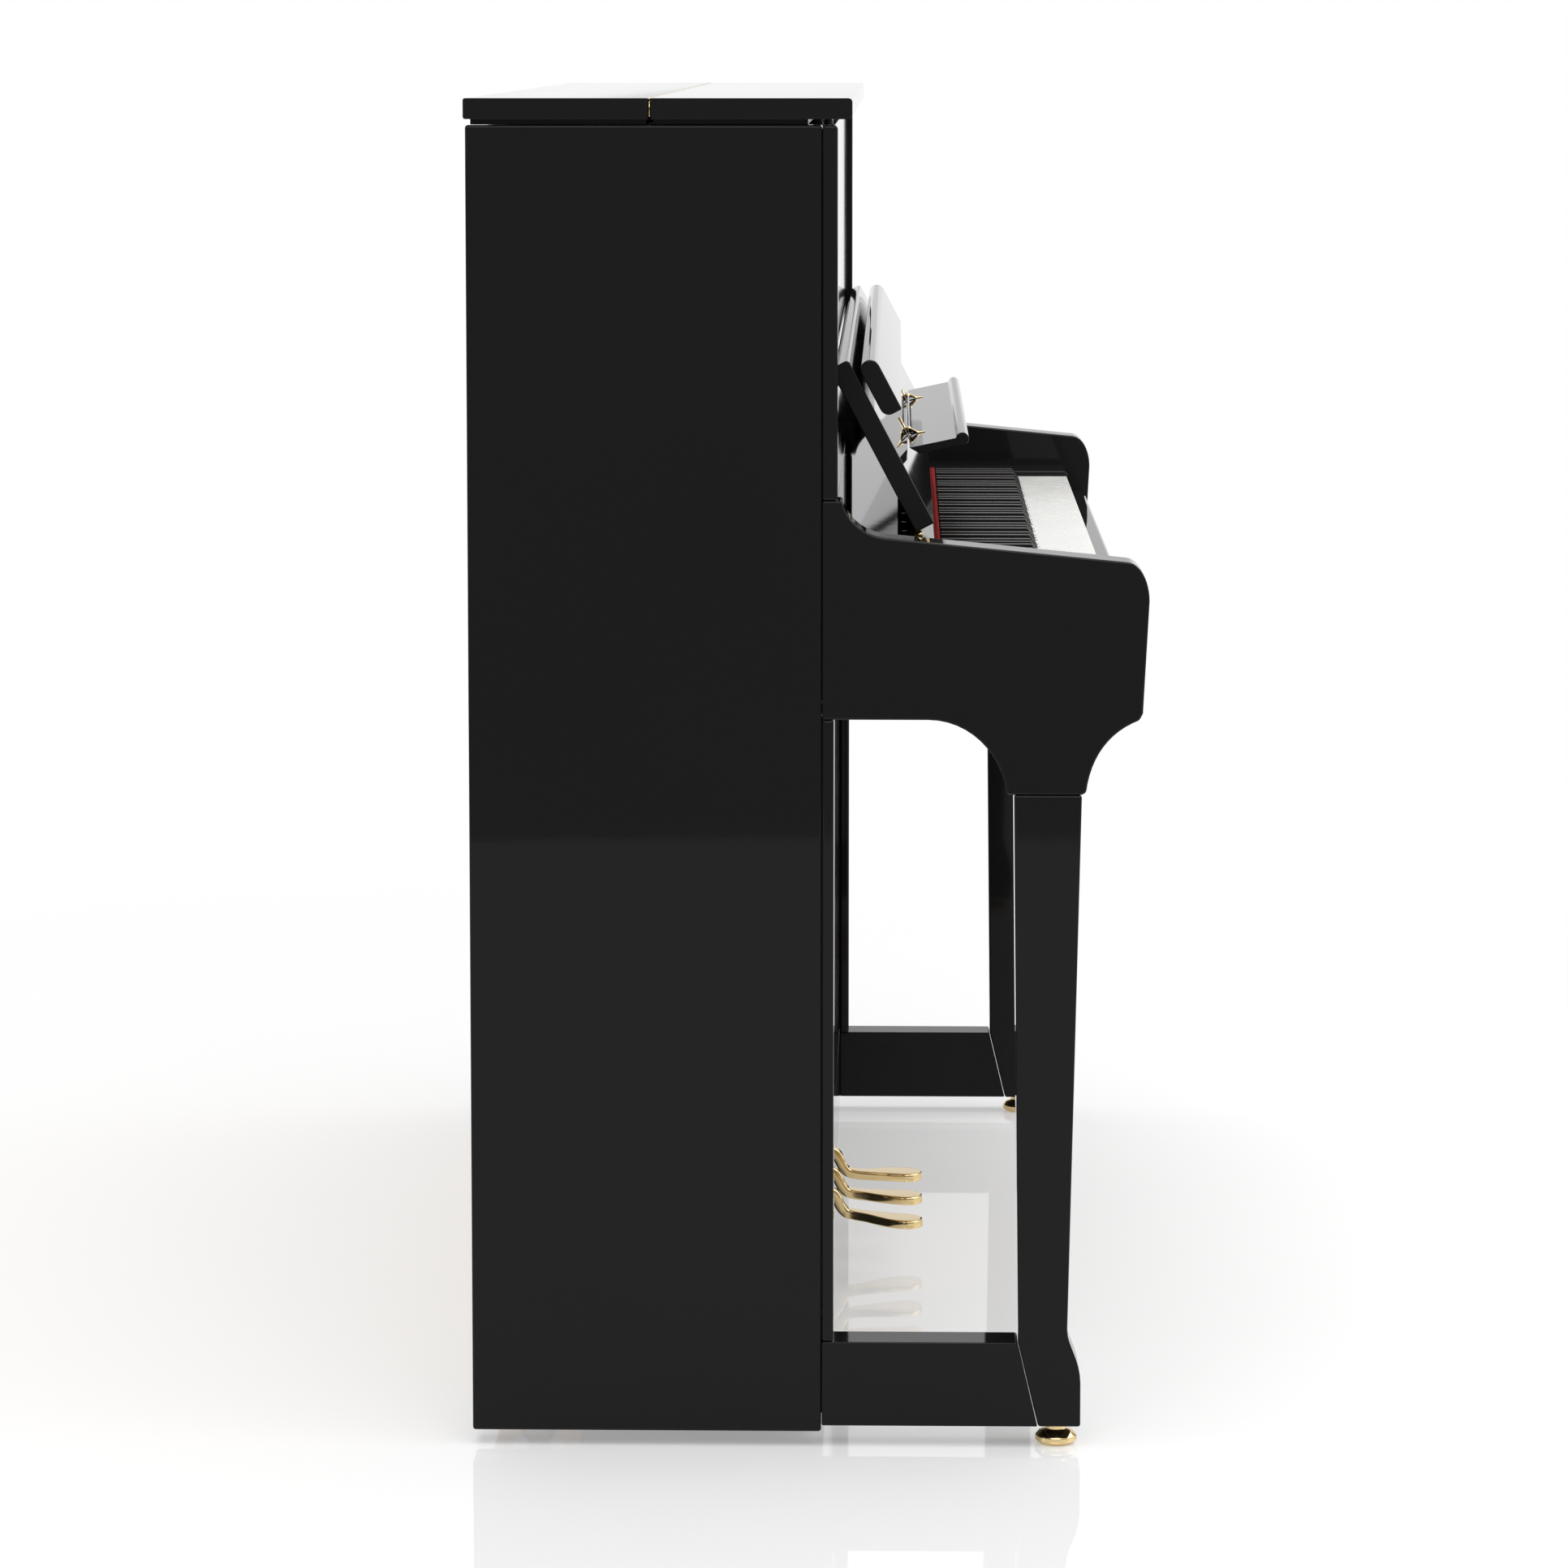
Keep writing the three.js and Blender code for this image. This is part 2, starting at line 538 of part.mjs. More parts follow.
// ---- Strung back ----
function addBackFrame() {
  const back = 8;
  const beams = [
    box(-INSIDE, INSIDE, back, FRAME_FRONT, 44, 130),
    box(-INSIDE, INSIDE, back, PLATE_BACK - GAP, BEARING_Z + 3, CASE_TOP - 2),
    box(-INSIDE, -INSIDE + 60, back, FRAME_FRONT, 120, BEARING_Z + 10),
    box(INSIDE - 60, INSIDE, back, FRAME_FRONT, 120, BEARING_Z + 10),
  ];
  const posts = [-330, 0, 330].map((x) => box(x - 35, x + 35, back, 68, 120, BEARING_Z + 10));
  const cleat = (z) => box(-INSIDE + 50, INSIDE - 50, FRAME_FRONT - 10, FRAME_FRONT, z - 8, z + 8);
  add('back_frame', joined(...beams, ...posts, cleat(138), cleat(BEARING_Z - 6)), SPRUCE);
}

// Speaking length and place of each string, from the lowest note up
function stringOf(note) {
  const x = -NOTE_PITCH * (NOTE_COUNT - 1) / 2 + note * NOTE_PITCH;
  if (note < BASS_NOTES) {
    const length = 870 - 5 * note;
    return { x, length, drift: 330 };
  }
  const fromTop = NOTE_COUNT - 1 - note;
  const length = Math.min(52 * Math.pow(1.056, fromTop), 800 - 3 * (note - BASS_NOTES));
  return { x, length, drift: -0.12 * length };
}

// A straight strip between two points of the front view
function strip(x0, z0, x1, z1, width, b0, b1) {
  const along = new THREE.Vector2(x1 - x0, z1 - z0).normalize().multiplyScalar(width / 2);
  const outline = polygon([
    [x0 - along.y, z0 + along.x], [x0 + along.y, z0 - along.x],
    [x1 + along.y, z1 - along.x], [x1 - along.y, z1 + along.x],
  ]);
  return panel(outline, b0, b1);
}

// The bridge under one set of strings: a band through the ends of their speaking lengths
function bridge(notes, width, b0, b1) {
  const ends = notes.map((note) => {
    const { x, length, drift } = stringOf(note);
    return new THREE.Vector2(x + drift, BEARING_Z - length);
  });
  const upper = ends.map((p) => [p.x, p.y + width / 2]);
  const lower = ends.map((p) => [p.x, p.y - width / 2]).reverse();
  return panel(polygon([...upper, ...lower]), b0, b1);
}

const TREBLE_STEPS = [26, 32, 38, 44, 50, 56, 62, 68, 74, 80, 87];
const BASS_STEPS = [0, 12, 25];
const TREBLE_BRIDGE_W = 30;
const BASS_BRIDGE_W = 34;

function addSoundboard() {
  const board = box(-INSIDE + 4, INSIDE - 4, BOARD_BACK, BOARD_FACE, 66, BEARING_Z);
  const ribs = [-700, -520, -340, -160, 20, 200, 380].map((start) =>
    strip(start, 160, start + 800, 1010, 20, FRAME_FRONT - 14, BOARD_BACK + 0.5));
  const window = box(-INSIDE + 64, INSIDE - 64, 60, BOARD_BACK + 1, 150, BEARING_Z - 18);
  const ribbed = ribs.map((rib) => common(rib, window));
  const treble = bridge(TREBLE_STEPS, TREBLE_BRIDGE_W, BOARD_FACE - 0.5, TREBLE_PLANE - 1.2);
  const bass = bridge(BASS_STEPS, BASS_BRIDGE_W, BOARD_FACE - 0.5, BASS_PLANE - 2.5);
  add('soundboard', joined(board, ...ribbed, treble, bass), SPRUCE);
}

// Iron plate: a rim and a pin field, with openings between its struts
function addPlate() {
  const half = INSIDE - 6;
  const outline = polygon([[-half, 72], [-half, 1146], [half, 1146], [half, 420], [half - 120, 72]]);
  const openings = [
    [[-655, 120], [-655, 1015], [-345, 1015], [-120, 120]],
    [[-85, 120], [-315, 1015], [30, 1015], [30, 120]],
    [[70, 120], [70, 1015], [330, 1015], [330, 120]],
    [[370, 150], [370, 1015], [640, 1015], [640, 430], [545, 150]],
    [[-300, 120], [-300, 400], [-60, 400], [-60, 120]],
  ];
  const through = [PLATE_BACK - 5, PLATE_FACE + 5];
  const windows = openings.map((points) => panel(polygon(points), ...through));
  const clearance = 2;
  const treble = bridge(TREBLE_STEPS, TREBLE_BRIDGE_W + 2 * clearance, ...through);
  const bass = bridge(BASS_STEPS, BASS_BRIDGE_W + 2 * clearance, ...through);
  add('plate', cut(panel(outline, PLATE_BACK, PLATE_FACE), ...windows, treble, bass), IRON);
}

// Strings of one set with their tuning pins, held together by the pressure bar
function stringSet(first, last, plane, wire, hitch) {
  const pinRows = [1062, 1086, 1110];
  const solids = [];
  for (let note = first; note <= last; note++) {
    const { x, length, drift } = stringOf(note);
    const pinZ = pinRows[note % 3];
    const reach = 1 + hitch / length;
    const top = [x - (drift / length) * (pinZ - BEARING_Z), pinZ];
    solids.push(tuningPin(...top, PLATE_FACE + GAP, PLATE_FACE + 26, 2.8));
    const end = [x + drift * reach, BEARING_Z - length * reach];
    solids.push(strip(...top, ...end, wire, plane - wire / 2, plane + wire / 2));
  }
  const ends = [stringOf(first).x - 8, stringOf(last).x + 8];
  return joined(box(...ends, plane - 2.5, plane + 2.5, BEARING_Z - 4, BEARING_Z + 4), ...solids);
}

function addStrings() {
  add('strings_bass', stringSet(0, BASS_NOTES - 1, BASS_PLANE, 2.2, 40), STEEL);
  add('strings_treble', stringSet(BASS_NOTES, NOTE_COUNT - 1, TREBLE_PLANE, 1.2, 40), STEEL);
}

// ---- Action ----
const ACTION_HALF = 640;
const HAMMER_PIN = [218, 878];
const DAMPER_PIN = [172, 851];

function addAction() {
  // Brackets stand on the keybed outside the keys and carry the rails
  const bracket = polygon([
    [196, KEYBED_TOP + GAP], [196, 760], [238, 860], [238, 1070], [250, 1070], [262, 860], [262, 760],
    [236, KEYBED_TOP + GAP],
  ]);
  const ends = [-ACTION_HALF + 6, ACTION_HALF - 14].map((x) => slab(bracket, x, x + 8));
  const mainRail = box(-ACTION_HALF, ACTION_HALF, 240, 258, 858, 884);
  const letOffRail = box(-ACTION_HALF, ACTION_HALF, 246, 256, 800, 812);
  add('action_frame', joined(...ends, mainRail, letOffRail), STEEL);

  const hammer = polygon([
    [214, 874], [224, 874], [213, 975], [208, 993], [174, 987], [174, 981], [205, 972],
  ]);
  const hammerRail = box(-ACTION_HALF + 20, ACTION_HALF - 20, HAMMER_PIN[0] - 7, HAMMER_PIN[0] + 9, 870, 884);
  const hammers = [hammerRail];
  const bassReach = stringOf(BASS_NOTES - 1).x + 70;
  const dampers = [box(-ACTION_HALF + 20, 380, DAMPER_PIN[0] - 5, DAMPER_PIN[0] + 5, 845, 857)];
  for (let note = 0; note < NOTE_COUNT; note++) {
    const { x } = stringOf(note);
    hammers.push(slab(hammer, x - 4.5, x + 4.5));
    if (x > 375) continue;
    const felt = x < bassReach ? BASS_PLANE + 1.6 : TREBLE_PLANE + 1.1;
    const damper = polygon([[169, 850], [175, 850], [175, 938], [felt, 950], [felt, 905], [169, 916]]);
    dampers.push(slab(damper, x - 4, x + 4));
  }
  add('hammers', joined(...hammers), FELT);
  add('dampers', joined(...dampers), FELT);
  const muffler = polygon([
    [145, 1006], [145, 1020], [157, 1020], [157, 1006], [153, 1006], [153, 992], [150, 992], [150, 1006],
  ]);
  add('muffler_rail', slab(muffler, -ACTION_HALF + 20, ACTION_HALF - 20), FELT);
}

addLid();
addCase();
addPanels();
addKeyboardCase();
addKeys();
addFallboard();
addMusicShelf();
addPedals();
addCasters();
addBackFrame();
addSoundboard();
addPlate();
addStrings();
addAction();

export default group;
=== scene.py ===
import json
import math

import bmesh
import bpy
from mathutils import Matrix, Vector


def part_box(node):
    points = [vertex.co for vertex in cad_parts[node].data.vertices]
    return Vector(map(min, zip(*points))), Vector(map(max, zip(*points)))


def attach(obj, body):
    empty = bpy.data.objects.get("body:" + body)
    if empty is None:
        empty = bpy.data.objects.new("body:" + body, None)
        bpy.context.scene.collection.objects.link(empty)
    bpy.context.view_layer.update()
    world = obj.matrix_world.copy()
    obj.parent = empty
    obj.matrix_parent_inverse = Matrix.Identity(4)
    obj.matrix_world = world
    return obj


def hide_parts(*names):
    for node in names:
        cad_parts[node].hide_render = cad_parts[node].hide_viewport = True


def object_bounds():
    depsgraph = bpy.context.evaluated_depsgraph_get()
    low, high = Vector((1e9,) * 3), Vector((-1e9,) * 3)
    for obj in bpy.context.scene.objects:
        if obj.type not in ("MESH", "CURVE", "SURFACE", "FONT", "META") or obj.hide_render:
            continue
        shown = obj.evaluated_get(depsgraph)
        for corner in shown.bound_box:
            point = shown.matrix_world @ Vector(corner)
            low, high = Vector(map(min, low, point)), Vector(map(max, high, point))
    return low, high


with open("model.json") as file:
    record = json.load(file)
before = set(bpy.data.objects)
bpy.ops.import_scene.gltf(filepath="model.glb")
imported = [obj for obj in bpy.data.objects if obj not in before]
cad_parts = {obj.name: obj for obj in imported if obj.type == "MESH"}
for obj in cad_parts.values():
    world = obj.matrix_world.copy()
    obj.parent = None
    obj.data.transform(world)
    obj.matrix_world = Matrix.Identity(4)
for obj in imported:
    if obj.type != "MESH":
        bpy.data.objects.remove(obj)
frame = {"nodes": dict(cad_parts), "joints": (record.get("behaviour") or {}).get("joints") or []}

cad_low, cad_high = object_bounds()
MM = 0.001
NODES = frame["nodes"]
PINS = {joint["name"]: Vector(joint["pos_m"]) for joint in frame["joints"] if "pos_m" in joint}


# ---- Camera ----
def add_camera():
    data = bpy.data.cameras.new("camera")
    data.lens = 121.7
    data.shift_y = -0.12
    camera = bpy.data.objects.new("camera", data)
    camera.location = (-5.3004, -0.0776, 1.2329)
    down, aside = math.radians(6.03), math.radians(1.23)
    forward = Vector((math.cos(down) * math.cos(aside), math.cos(down) * math.sin(aside), -math.sin(down)))
    camera.rotation_mode = "QUATERNION"
    camera.rotation_quaternion = forward.to_track_quat("-Z", "Y")
    bpy.context.scene.collection.objects.link(camera)
    bpy.context.scene.camera = camera


# ---- Materials ----
class Look:
    """A Principled material whose colour, roughness and relief come from procedural nodes."""

    def __init__(self, name, **sockets):
        self.material = bpy.data.materials.new(name)
        self.material.use_nodes = True
        self.tree = self.material.node_tree
        self.shader = self.tree.nodes["Principled BSDF"]
        self.place = self.tree.nodes.new("ShaderNodeTexCoord").outputs["Object"]
        for socket, value in sockets.items():
            self.shader.inputs[socket.replace("_", " ")].default_value = value

    def node(self, kind, inputs=None, **settings):
        made = self.tree.nodes.new(kind)
        for setting, value in settings.items():
            setattr(made, setting, value)
        for socket, value in (inputs or {}).items():
            if isinstance(value, bpy.types.NodeSocket):
                self.tree.links.new(value, made.inputs[socket])
            else:
                made.inputs[socket].default_value = value
        return made

    def stretched(self, stretch):
        return self.node("ShaderNodeMapping", {"Vector": self.place, "Scale": stretch}).outputs["Vector"]

    def noise(self, scale, detail, stretch=(1, 1, 1), warp=0.0):
        inputs = {"Vector": self.stretched(stretch), "Scale": scale, "Detail": detail, "Distortion": warp}
        return self.node("ShaderNodeTexNoise", inputs).outputs["Fac"]

    def bands(self, scale, axis):
        inputs = {"Vector": self.place, "Scale": scale}
        return self.node("ShaderNodeTexWave", inputs, bands_direction=axis).outputs["Fac"]

    def above(self, axis, edge):
        """0 below edge on that axis and 1 above it, with a narrow blur between."""
        blur = 0.5 * MM
        axes = self.node("ShaderNodeSeparateXYZ", {"Vector": self.place}).outputs
        inputs = {"Value": axes[axis], "From Min": edge - blur, "From Max": edge + blur}
        return self.node("ShaderNodeMapRange", inputs).outputs["Result"]

    def span(self, share, low, high):
        inputs = {"Value": share, "To Min": low, "To Max": high}
        return self.node("ShaderNodeMapRange", inputs).outputs["Result"]

    def mix(self, share, first, second):
        made = self.node("ShaderNodeMix", data_type="RGBA")
        for socket, value in ((made.inputs[0], share), (made.inputs[6], first), (made.inputs[7], second)):
            if isinstance(value, bpy.types.NodeSocket):
                self.tree.links.new(value, socket)
            else:
                socket.default_value = (*value, 1) if hasattr(value, "__len__") else value
        return made.outputs[2]

    def colour(self, value):
        self.tree.links.new(value, self.shader.inputs["Base Color"])

    def roughness(self, share, low, high):
        self.tree.links.new(self.span(share, low, high), self.shader.inputs["Roughness"])

    def relief(self, height, depth):
        bump = self.node("ShaderNodeBump", {"Height": height, "Distance": depth, "Strength": 1.0})
        self.tree.links.new(bump.outputs["Normal"], self.shader.inputs["Normal"])


def black_polyester():
    look = Look("black_polyester", IOR=1.52, Specular_IOR_Level=0.11)
    look.colour(look.mix(look.noise(2.5, 3), (0.0078, 0.0078, 0.0081), (0.0097, 0.0096, 0.0099)))
    look.roughness(look.noise(9, 5, warp=0.6), 0.015, 0.05)
    look.relief(look.noise(45, 1), 0.000012)
    return look.material


def polished_brass():
    look = Look("polished_brass", Metallic=1.0)
    look.colour(look.mix(look.noise(22, 3), (0.86, 0.68, 0.37), (0.76, 0.56, 0.27)))
    look.roughness(look.noise(60, 4), 0.06, 0.17)
    look.relief(look.noise(900, 2, stretch=(1, 0.2, 1)), 0.000004)
    return look.material


def key_white():
    look = Look("key_white", IOR=1.49)
    look.colour(look.mix(look.noise(14, 2), (0.66, 0.655, 0.635), (0.60, 0.592, 0.565)))
    look.roughness(look.noise(35, 3), 0.14, 0.26)
    look.relief(look.noise(160, 2), 0.00001)
    return look.material


def key_black():
    look = Look("key_black", IOR=1.5, Specular_IOR_Level=0.2)
    grain = look.noise(260, 4, stretch=(1, 0.05, 1))
    look.colour(look.mix(grain, (0.0035, 0.0026, 0.0022), (0.008, 0.006, 0.0052)))
    look.roughness(grain, 0.26, 0.4)
    look.relief(grain, 0.00003)
    return look.material


def grained_wood(name, light, dark, along, pores=420):
    """Straight-grained wood: growth rings and fine pores, both drawn out along the grain."""
    look = Look(name, IOR=1.45)
    stretch = [0.03 if axis == along else 1 for axis in range(3)]
    rings = look.noise(70, 3, stretch=stretch, warp=0.8)
    fine = look.noise(pores, 3, stretch=stretch)
    tone = look.mix(rings, light, dark)
    look.colour(look.mix(look.span(fine, 0.0, 0.45), tone, tuple(0.6 * c for c in dark)))
    look.roughness(fine, 0.42, 0.62)
    look.relief(fine, 0.00006)
    return look.material


def felt(name, light, dark, sheen=0.3):
    look = Look(name, Sheen_Weight=sheen, Sheen_Roughness=0.6, Specular_IOR_Level=0.2)
    fuzz = look.noise(1400, 4)
    look.colour(look.mix(fuzz, light, dark))
    look.roughness(look.noise(300, 2), 0.85, 1.0)
    look.relief(look.mix(0.5, fuzz, look.noise(260, 3)), 0.0005)
    return look.material


def felted_wood(name, felt_from):
    """Wooden parts of the action, whose ends towards the strings are white felt."""
    look = Look(name, Specular_IOR_Level=0.35)
    grain = look.noise(300, 3, stretch=(1, 1, 0.03))
    fuzz = look.noise(1400, 4)
    felted = look.above("Y", felt_from)
    wood = look.mix(grain, (0.58, 0.38, 0.21), (0.42, 0.25, 0.12))
    wool = look.mix(fuzz, (0.74, 0.70, 0.60), (0.58, 0.54, 0.45))
    look.colour(look.mix(felted, wood, wool))
    look.roughness(felted, 0.5, 0.95)
    look.relief(look.mix(felted, grain, fuzz), 0.0002)
    return look.material


def bronzed_iron():
    look = Look("bronzed_iron", Metallic=0.45)
    look.colour(look.mix(look.noise(30, 4), (0.62, 0.44, 0.17), (0.50, 0.34, 0.12)))
    look.roughness(look.noise(200, 3), 0.3, 0.5)
    look.relief(look.noise(380, 3), 0.00008)
    return look.material


def string_steel():
    look = Look("string_steel", Metallic=1.0)
    look.colour(look.mix(look.noise(90, 3), (0.58, 0.58, 0.60), (0.42, 0.42, 0.44)))
    look.roughness(look.noise(300, 3), 0.22, 0.4)
    look.relief(look.noise(700, 2), 0.00001)
    return look.material


def wound_strings(bare_from):
    """Copper winding, and bare steel from that height up: wire ends, bar and tuning pins."""
    look = Look("copper_winding", Metallic=1.0)
    bare = look.above("Z", bare_from)
    turns = look.bands(330, "Z")
    copper = look.mix(turns, (0.72, 0.36, 0.20), (0.52, 0.24, 0.13))
    steel = look.mix(look.noise(90, 3), (0.58, 0.58, 0.60), (0.42, 0.42, 0.44))
    look.colour(look.mix(bare, copper, steel))
    look.roughness(look.noise(300, 3), 0.22, 0.4)
    look.relief(look.mix(bare, turns, look.noise(700, 2)), 0.0001)
    return look.material


def caster_tread():
    look = Look("caster_tread")
    look.colour(look.mix(look.noise(60, 3), (0.022, 0.021, 0.02), (0.04, 0.038, 0.035)))
    look.roughness(look.noise(240, 3), 0.55, 0.8)
    look.relief(look.noise(520, 2), 0.00008)
    return look.material


GRAIN_X, GRAIN_Y, GRAIN_Z = 0, 1, 2
BLACK = black_polyester()
BRASS = polished_brass()
WHITE = key_white()
EBONY = key_black()
STICK = grained_wood("key_spruce", (0.66, 0.47, 0.26), (0.50, 0.32, 0.16), GRAIN_Y)
MAPLE = grained_wood("maple", (0.60, 0.41, 0.23), (0.47, 0.29, 0.15), GRAIN_X)
SPRUCE = grained_wood("spruce", (0.66, 0.46, 0.25), (0.52, 0.33, 0.16), GRAIN_Z, pores=300)
BEECH = grained_wood("beech", (0.62, 0.41, 0.24), (0.50, 0.31, 0.17), GRAIN_X, pores=300)
HAMMERS = felted_wood("hammer_wood_and_felt", felt_from=99 * MM)
DAMPERS = felted_wood("damper_wood_and_felt", felt_from=127 * MM)
RED_FELT = felt("red_felt", (0.30, 0.008, 0.007), (0.11, 0.003, 0.003), sheen=0.0)
WHITE_FELT = felt("white_felt", (0.74, 0.70, 0.60), (0.58, 0.54, 0.45))
IRON = bronzed_iron()
STEEL = string_steel()
COPPER = wound_strings(bare_from=1014 * MM)
TREAD = caster_tread()


# ---- CAD nodes that stay ----
PIERCED = ("plate", "soundboard")   # flat faces with windows in them stay in triangles


def polished(name, material, radius):
    """Gives a CAD node its material and its rounded edges."""
    node = NODES[name]
    node.data.materials.clear()
    node.data.materials.append(material)
    for attribute in ("custom_normal", "sharp_edge", "sharp_face"):
        if attribute in node.data.attributes:
            node.data.attributes.remove(node.data.attributes[attribute])
    weld = node.modifiers.new("weld", "WELD")
    weld.merge_threshold = 0.02 * MM
    if name not in PIERCED:
        merge = node.modifiers.new("flat_faces", "DECIMATE")
        merge.decimate_type = "DISSOLVE"
        merge.angle_limit = math.radians(0.5)
    rounded(node, radius)


def rounded(obj, radius):
    """Rounds every edge sharper than 30 degrees, with flat faces kept flat in the shading."""
    if radius:
        bevel = obj.modifiers.new("rounding", "BEVEL")
        bevel.width = radius
        bevel.segments = 3
        bevel.limit_method = "ANGLE"
        bevel.angle_limit = math.radians(30)
        bevel.harden_normals = True
        bevel.miter_outer = "MITER_ARC"


def pair(name):
    return [f"{name}_left", f"{name}_right"]


POLISHED = [
    (["lid_rear", "lid_front"], BLACK, 2.2 * MM),
    (pair("side_panel") + pair("upper_stile") + pair("lower_stile"), BLACK, 2.6 * MM),
    (pair("arm") + pair("leg"), BLACK, 2.2 * MM),
    (pair("toe_block"), BLACK, 1.5 * MM),
    (["upper_panel", "lower_panel", "bottom_board", "key_slip", "fallboard_rail"], BLACK, 1.5 * MM),
    (pair("key_block"), BLACK, 1.5 * MM),
    (["fallboard", "fallboard_flap"], BLACK, 1.5 * MM),
    (["music_shelf"], BLACK, 0.6 * MM),
    (pair("front_foot"), BRASS, 0.8 * MM),
    (["keybed"], MAPLE, 1 * MM),
    (["soundboard"], SPRUCE, 1.5 * MM),
    (["plate"], IRON, 1.5 * MM),
    (["strings_bass"], COPPER, 0),
    (["strings_treble"], STEEL, 0),
    (["action_frame"] + pair("caster_fork"), STEEL, 0.8 * MM),
    (pair("rear_wheel"), TREAD, 1 * MM),
    (["hammers"], HAMMERS, 0.6 * MM),
    (["dampers"], DAMPERS, 0.6 * MM),
    (["muffler_rail"], WHITE_FELT, 0.6 * MM),
]


def finish_cad_nodes():
    for names, material, radius in POLISHED:
        for name in names:
            polished(name, material, radius)


# ---- Building pieces ----
def piece(name, bm, body, materials, replaces=()):
    """A finished mesh as an object that rides on a body and may stand for CAD nodes."""
    bmesh.ops.recalc_face_normals(bm, faces=bm.faces)
    mesh = bpy.data.meshes.new(name)
    bm.to_mesh(mesh)
    bm.free()
    for material in materials:
        mesh.materials.append(material)
    mesh.shade_smooth()
    obj = bpy.data.objects.new(name, mesh)
    bpy.context.scene.collection.objects.link(obj)
    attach(obj, body)
    if replaces:
        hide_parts(*replaces)
    return obj


def prism(bm, outline, low, high, material=0):
    """A closed block over a plan outline, between two heights."""
    rings = [[bm.verts.new((x, y, z)) for x, y in outline] for z in (low, high)]
    faces = [bm.faces.new(rings[0]), bm.faces.new(rings[1])]
    for i in range(len(outline)):
        j = (i + 1) % len(outline)
        faces.append(bm.faces.new((rings[0][i], rings[0][j], rings[1][j], rings[1][i])))
    for face in faces:
        face.material_index = material


def block(bm, low, high, material=0):
    outline = [(low[0], low[1]), (high[0], low[1]), (high[0], high[1]), (low[0], high[1])]
    prism(bm, outline, low[2], high[2], material)


def loft(bm, rings, material=0):
    """A closed skin over rings of points that all have the same count."""
    rows = [[bm.verts.new(point) for point in ring] for ring in rings]
    faces = [bm.faces.new(rows[0]), bm.faces.new(rows[-1])]
    count = len(rows[0])
    for first, second in zip(rows, rows[1:]):
        for i in range(count):
            j = (i + 1) % count
            faces.append(bm.faces.new((first[i], first[j], second[j], second[i])))
    for face in faces:
        face.material_index = material


def oval(centre, across, up, half_width, half_height, count, power=2.0):
    """A ring of points: a circle at power 2, nearer to a rounded rectangle as the power grows."""
    ring = []
    for i in range(count):
        turn = 2 * math.pi * i / count
        u, v = math.cos(turn), math.sin(turn)
        u = math.copysign(abs(u) ** (2 / power), u) * half_width
        v = math.copysign(abs(v) ** (2 / power), v) * half_height
        ring.append(centre + across * u + up * v)
    return ring


def turned(bm, start, along, profile, count, material=0):
    """A lathe-turned solid: profile holds (distance along, radius) from start."""
    along = along.normalized()
    side = along.orthogonal().normalized()
    up = along.cross(side)
    loft(bm, [oval(start + along * d, side, up, r, r, count) for d, r in profile], material)


def between(before, here, there, after, t):
    """A smooth curve's value a share t of the way from here to there."""
    slope = (there - before) * t
    bend = (2 * before - 5 * here + 4 * there - after) * t * t
    return 0.5 * (2 * here + slope + bend + (3 * here - before - 3 * there + after) * t ** 3)


def smooth_path(stations, steps):
    """Points on a smooth curve through the stations, which are tuples of numbers."""
    points = []
    last = len(stations) - 1
    for i in range(last):
        before, here = stations[max(i - 1, 0)], stations[i]
        there, after = stations[i + 1], stations[min(i + 2, last)]
        for step in range(steps):
            four = zip(before, here, there, after)
            points.append([between(*values, step / steps) for values in four])
    points.append(list(stations[last]))
    return points


# ---- Keys ----
LETTERS = ["C", "Cs", "D", "Ds", "E", "F", "Fs", "G", "Gs", "A", "As", "B"]
MIDDLE_OCTAVE = 4
LOWEST_A = 9                       # semitones above the C below it
NOTE_COUNT = 88
HEAD_LOW, HEAD_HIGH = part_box("key_C4")
SHARP_LOW, SHARP_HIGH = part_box("key_Cs4")
HEAD_W = HEAD_HIGH.x - HEAD_LOW.x
SHARP_W = SHARP_HIGH.x - SHARP_LOW.x
OCTAVE = 7 / 6 * (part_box("key_B4")[0].x - HEAD_LOW.x)
KEY_FRONT = HEAD_LOW.y
KEY_TAIL = HEAD_HIGH.y
KEY_TOP = HEAD_HIGH.z
SHARP_TOP = SHARP_HIGH.z
SHARP_FRONT = SHARP_LOW.y
SHARP_L = 93 * MM
BESIDE_SHARP = 0.9 * MM
BEFORE_SHARP = 1.5 * MM
COVER_T = 2.4 * MM                 # white covering on a natural
COVER_L = 164 * MM
LIP = 1 * MM                       # how far the covering stands over the key's front


def all_keys():
    """(name, x) of every note from the lowest A up, repeated from the middle octave's keys."""
    keys = []
    for semitone in range(LOWEST_A, LOWEST_A + NOTE_COUNT):
        octave, step = divmod(semitone, 12)
        low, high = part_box(f"key_{LETTERS[step]}{MIDDLE_OCTAVE}")
        shift = (octave - MIDDLE_OCTAVE) * OCTAVE
        keys.append((f"{LETTERS[step]}{octave}", (low.x + high.x) / 2 + shift))
    return keys


KEYS = all_keys()


def is_sharp(index):
    return 0 <= index < NOTE_COUNT and "s" in KEYS[index][0]


